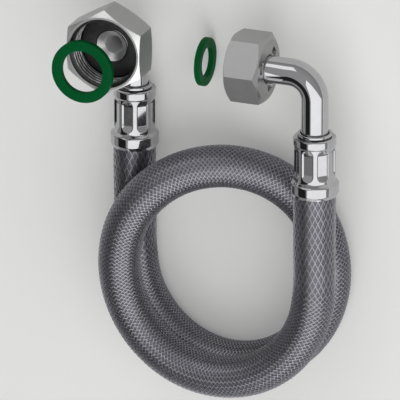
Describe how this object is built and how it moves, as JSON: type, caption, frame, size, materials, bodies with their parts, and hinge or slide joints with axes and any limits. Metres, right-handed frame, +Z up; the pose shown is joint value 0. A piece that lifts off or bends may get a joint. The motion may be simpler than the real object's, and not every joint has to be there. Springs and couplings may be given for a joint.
{
  "type": "flexible hose",
  "caption": "Braided flexible connecting hose lying in a loop, with a crimped ferrule, a bent tube and a loose hexagon union nut at each end and flat sealing rings.",
  "frame": {"origin": "On the surface it lies on, centred under the two end fittings, in metres.", "axes": "+Y runs from the hose's loop towards the end fittings, +X from the left end to the right end, and +Z is up off the surface; the left nut opens upwards and the right nut opens towards -X."},
  "size_m": [0.1324, 0.191, 0.0542],
  "materials": {
    "braid": "woven stainless wire over a dark tube",
    "chrome": "polished chrome on brass",
    "ferrule": "pressed, bright",
    "nut": "satin nickel plate",
    "collar": "blackened",
    "seal": "green fibre sealing ring",
    "rubber": "black inner tube"
  },
  "bodies": {
    "base": {"hose": "braid", "hose_end_left": "rubber", "hose_end_right": "rubber", "nipple_left": "chrome", "nipple_right": "chrome", "ferrule_left": "ferrule", "ferrule_right": "ferrule", "elbow_tube_left": "chrome", "elbow_tube_right": "chrome", "collar_left": "collar", "collar_right": "collar", "gasket_right": "seal"},
    "nut_left": {"union_nut_left": "nut", "gasket_left": "seal"},
    "nut_right": {"union_nut_right": "nut"}
  },
  "joints": [
    {"name": "left_nut_turn", "type": "hinge", "parent": "base", "child": "nut_left", "pos_m": [-0.04195, 0.02101, 0.0397], "axis": [0, 0, 1], "continuous": true},
    {"name": "right_nut_turn", "type": "hinge", "parent": "base", "child": "nut_right", "pos_m": [0.02645, 0.01641, 0.0303], "axis": [-1, 0, 0], "continuous": true}
  ]
}
